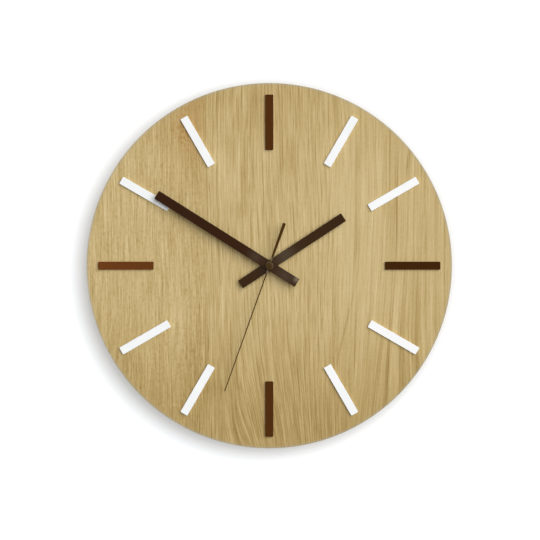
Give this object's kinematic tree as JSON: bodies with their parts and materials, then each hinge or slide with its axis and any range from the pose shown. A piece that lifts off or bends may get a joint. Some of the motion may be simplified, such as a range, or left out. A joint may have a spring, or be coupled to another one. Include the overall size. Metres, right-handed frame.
{
  "type": "wall clock",
  "caption": "Round wall clock: oak-veneered board, raised bar hour marks, plain bar hands, and a battery quartz movement with its gear train behind.",
  "frame": {"origin": "where the hands' axis meets the wall, on the flat back of the movement's cover", "axes": "+Z points to 12 o'clock, +X to 3 o'clock as seen from the front, and the face looks along -Y; +Y points into the wall"},
  "size_m": [0.33, 0.0356, 0.33],
  "materials": {
    "oak_veneer": "satin",
    "core_board": "matte",
    "brown_acrylic": "gloss",
    "white_acrylic": "gloss",
    "foam": "matte",
    "case_plastic": "satin",
    "nylon": "satin",
    "knob_plastic": "satin",
    "brass": "satin",
    "steel": "satin",
    "magnet": "satin",
    "copper": "gloss",
    "circuit": "satin",
    "resin": "satin",
    "cell_sleeve": "gloss",
    "hand_lacquer": "satin"
  },
  "bodies": {
    "dial_and_case": {"front_veneer": "oak_veneer", "back_veneer": "oak_veneer", "core_board": "core_board", "mounting_foam": "foam", "movement_case": "case_plastic", "back_cover": "case_plastic", "wall_hanger": "case_plastic", "middle_plate": "nylon", "stator": "steel", "coil_bobbin": "nylon", "coil_winding": "copper", "coil_core": "steel", "circuit_board": "circuit", "controller_chip": "resin", "quartz_crystal": "steel", "positive_contact": "steel", "negative_contact": "steel", "battery_can": "steel", "battery_sleeve": "cell_sleeve", "hour_bar_01": "white_acrylic", "hour_bar_02": "white_acrylic", "hour_bar_03": "brown_acrylic", "hour_bar_04": "white_acrylic", "hour_bar_05": "white_acrylic", "hour_bar_06": "brown_acrylic", "hour_bar_07": "white_acrylic", "hour_bar_08": "white_acrylic", "hour_bar_09": "brown_acrylic", "hour_bar_10": "white_acrylic", "hour_bar_11": "white_acrylic", "hour_bar_12": "brown_acrylic"},
    "minute_works": {"cannon_pinion": "brass", "clutch_spring": "brass", "minute_hand": "hand_lacquer", "minute_hand_bush": "brass"},
    "hour_works": {"hour_wheel": "nylon", "hour_hand": "hand_lacquer", "hour_hand_bush": "brass"},
    "motion_works": {"motion_wheel": "nylon", "setting_knob": "knob_plastic"},
    "second_works": {"seconds_wheel": "nylon", "seconds_arbor": "steel", "second_hand": "hand_lacquer", "second_hand_tube": "brass", "hub_cap": "hand_lacquer"},
    "third_works": {"third_wheel": "nylon"},
    "centre_works": {"centre_wheel": "nylon"},
    "intermediate_works": {"intermediate_wheel": "nylon"},
    "rotor_works": {"rotor_magnet": "magnet", "rotor_pinion": "nylon"}
  },
  "joints": [
    {"name": "minute_turn", "type": "hinge", "parent": "dial_and_case", "child": "minute_works", "pos_m": [0, 0, 0], "axis": [0, 1, 0], "continuous": true},
    {"name": "hour_turn", "type": "hinge", "parent": "dial_and_case", "child": "hour_works", "pos_m": [0, 0, 0], "axis": [0, 1, 0], "continuous": true},
    {"name": "setting_turn", "type": "hinge", "parent": "dial_and_case", "child": "motion_works", "pos_m": [0.01, 0, 0], "axis": [0, 1, 0], "continuous": true},
    {"name": "second_turn", "type": "hinge", "parent": "dial_and_case", "child": "second_works", "pos_m": [0, 0, 0], "axis": [0, 1, 0], "continuous": true},
    {"name": "third_turn", "type": "hinge", "parent": "dial_and_case", "child": "third_works", "pos_m": [-0.00308, 0, 0.00846], "axis": [0, 1, 0], "continuous": true},
    {"name": "centre_turn", "type": "hinge", "parent": "dial_and_case", "child": "centre_works", "pos_m": [0, 0, 0], "axis": [0, 1, 0], "continuous": true},
    {"name": "intermediate_turn", "type": "hinge", "parent": "dial_and_case", "child": "intermediate_works", "pos_m": [-0.00614, 0, -0.0043], "axis": [0, 1, 0], "continuous": true},
    {"name": "rotor_turn", "type": "hinge", "parent": "dial_and_case", "child": "rotor_works", "pos_m": [-0.01272, 0, -0.00191], "axis": [0, 1, 0], "continuous": true}
  ],
  "couplings": [
    {"joint": "hour_turn", "follows": "minute_turn", "ratio": 0.083333},
    {"joint": "setting_turn", "follows": "minute_turn", "ratio": -0.33333},
    {"joint": "third_turn", "follows": "second_turn", "ratio": -0.13333},
    {"joint": "centre_turn", "follows": "second_turn", "ratio": 0.016667},
    {"joint": "intermediate_turn", "follows": "second_turn", "ratio": -5},
    {"joint": "rotor_turn", "follows": "second_turn", "ratio": 30}
  ]
}
